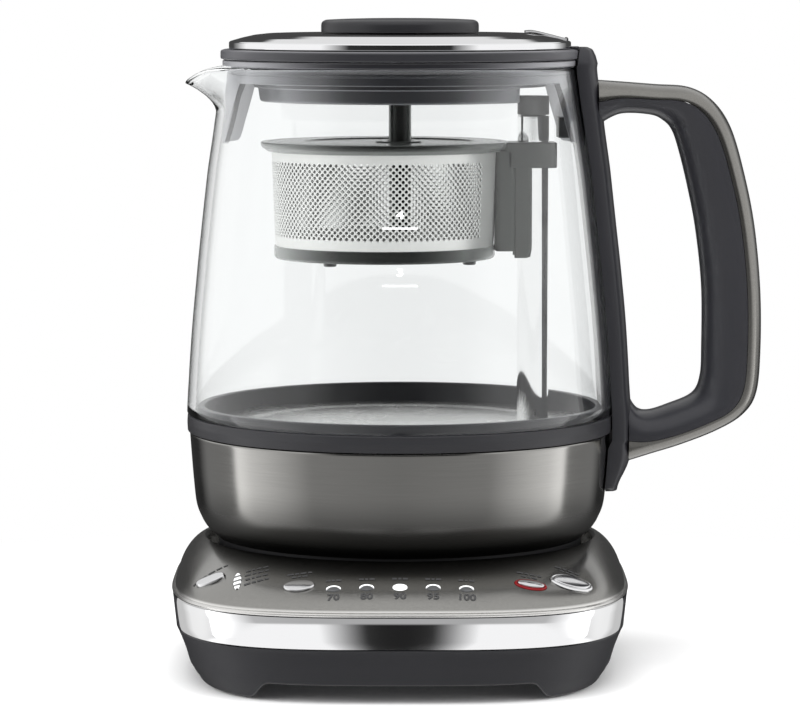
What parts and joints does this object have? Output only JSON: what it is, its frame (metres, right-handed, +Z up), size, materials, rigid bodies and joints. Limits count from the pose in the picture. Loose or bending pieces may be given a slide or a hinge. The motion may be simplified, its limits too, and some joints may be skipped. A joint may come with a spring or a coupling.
{
  "type": "automatic tea maker",
  "caption": "Glass jug kettle with a motor-lifted tea basket on a cordless power base with a control panel, side handle and drawn spout.",
  "frame": {"origin": "on the floor plane, under the middle of the whole outline", "axes": "+Z up, spout towards -X, handle towards +X, control panel towards -Y"},
  "size_m": [0.209, 0.176, 0.2297],
  "materials": {
    "hickory_metal": "satin",
    "charcoal_plastic": "satin",
    "housing_plastic": "fine texture",
    "grey_plastic": "satin",
    "black_plastic": "matte",
    "soft_grip": "soft touch",
    "polished_steel": "polished",
    "brushed_steel": "brushed",
    "clear_glass": "clear",
    "black_rubber": "matte",
    "silicone": "matte",
    "silver_button": "metallised",
    "lamp_lens": "frosted",
    "red_lens": "translucent",
    "brass": "plated",
    "circuit_board": "solder mask",
    "winding": "wound"
  },
  "bodies": {
    "power_base": {"base_housing": "housing_plastic", "front_band": "polished_steel", "base_cover": "hickory_metal", "keep_warm_halo": "red_lens", "start_bezel": "polished_steel", "strength_switch": "black_plastic", "select_switch": "black_plastic", "keep_warm_switch": "black_plastic", "start_switch": "black_plastic", "tea_lamps": "lamp_lens", "strength_lamps": "lamp_lens", "control_board": "circuit_board", "power_board": "circuit_board", "transformer": "winding", "cord_gland": "black_rubber", "base_connector": "black_plastic", "contact_pin": "brass", "jug_seat": "black_rubber", "rubber_foot_1": "black_rubber", "rubber_foot_2": "black_rubber", "rubber_foot_3": "black_rubber", "rubber_foot_4": "black_rubber", "base_screw_1": "brushed_steel", "base_screw_2": "brushed_steel", "base_screw_3": "brushed_steel"},
    "strength_key": {"strength_button": "silver_button"},
    "select_key": {"select_button": "silver_button"},
    "keep_warm_key": {"keep_warm_button": "silver_button"},
    "start_key": {"start_button": "silver_button"},
    "jug_socket": {"jug_connector": "black_plastic"},
    "jug": {"glass_vessel": "clear_glass", "jug_collar": "grey_plastic", "jug_band": "charcoal_plastic", "jug_shell": "hickory_metal", "jug_base_cover": "black_plastic", "heater_plate": "brushed_steel", "heating_element": "brushed_steel", "temperature_sensor": "brass", "lift_motor": "black_plastic", "handle_strap": "charcoal_plastic", "handle_grip": "soft_grip", "handle_trim": "hickory_metal", "handle_screw": "brushed_steel", "lift_post": "polished_steel", "post_cap": "grey_plastic"},
    "carrier": {"magnet_carrier": "brushed_steel"},
    "basket": {"basket_cup": "brushed_steel", "basket_rim": "charcoal_plastic", "basket_base_ring": "charcoal_plastic", "basket_arm": "charcoal_plastic"},
    "basket_cover": {"basket_lid": "charcoal_plastic"},
    "lid": {"lid_ring": "charcoal_plastic", "lid_plate": "polished_steel", "lid_knob": "charcoal_plastic", "lid_plug": "grey_plastic", "lid_seal": "silicone", "lid_stem": "charcoal_plastic", "thumb_tab": "polished_steel"}
  },
  "joints": [
    {"name": "jug_lift", "type": "slide", "parent": "power_base", "child": "jug_socket", "axis": [0, 0, 1], "range_m": [0, 0.06]},
    {"name": "jug_swivel", "type": "hinge", "parent": "jug_socket", "child": "jug", "pos_m": [-0.02395, 0.008, 0.0398], "axis": [0, 0, 1], "continuous": true},
    {"name": "lid_lift", "type": "slide", "parent": "jug", "child": "lid", "axis": [0, 0, 1], "range_m": [0, 0.065]},
    {"name": "basket_lift", "type": "slide", "parent": "jug", "child": "basket", "axis": [0, 0, -1], "range_m": [0, 0.05]},
    {"name": "carrier_lift", "type": "slide", "parent": "jug", "child": "carrier", "axis": [0, 0, -1], "range_m": [0, 0.05]},
    {"name": "basket_lid_lift", "type": "slide", "parent": "basket", "child": "basket_cover", "axis": [0, 0, 1], "range_m": [0, 0.01]},
    {"name": "strength_press", "type": "slide", "parent": "power_base", "child": "strength_key", "axis": [0.3872, 0.2899, -0.8752], "range_m": [0, 0.001], "stiffness_N_per_m": 300, "springref_m": -0.001},
    {"name": "select_press", "type": "slide", "parent": "power_base", "child": "select_key", "axis": [0.0808, 0.4179, -0.9049], "range_m": [0, 0.001], "stiffness_N_per_m": 300, "springref_m": -0.001},
    {"name": "keep_warm_press", "type": "slide", "parent": "power_base", "child": "keep_warm_key", "axis": [-0.1444, 0.3839, -0.912], "range_m": [0, 0.001], "stiffness_N_per_m": 300, "springref_m": -0.001},
    {"name": "start_press", "type": "slide", "parent": "power_base", "child": "start_key", "axis": [-0.2906, 0.3357, -0.896], "range_m": [0, 0.001], "stiffness_N_per_m": 300, "springref_m": -0.001}
  ],
  "couplings": [
    {"joint": "carrier_lift", "follows": "basket_lift", "ratio": 1}
  ]
}
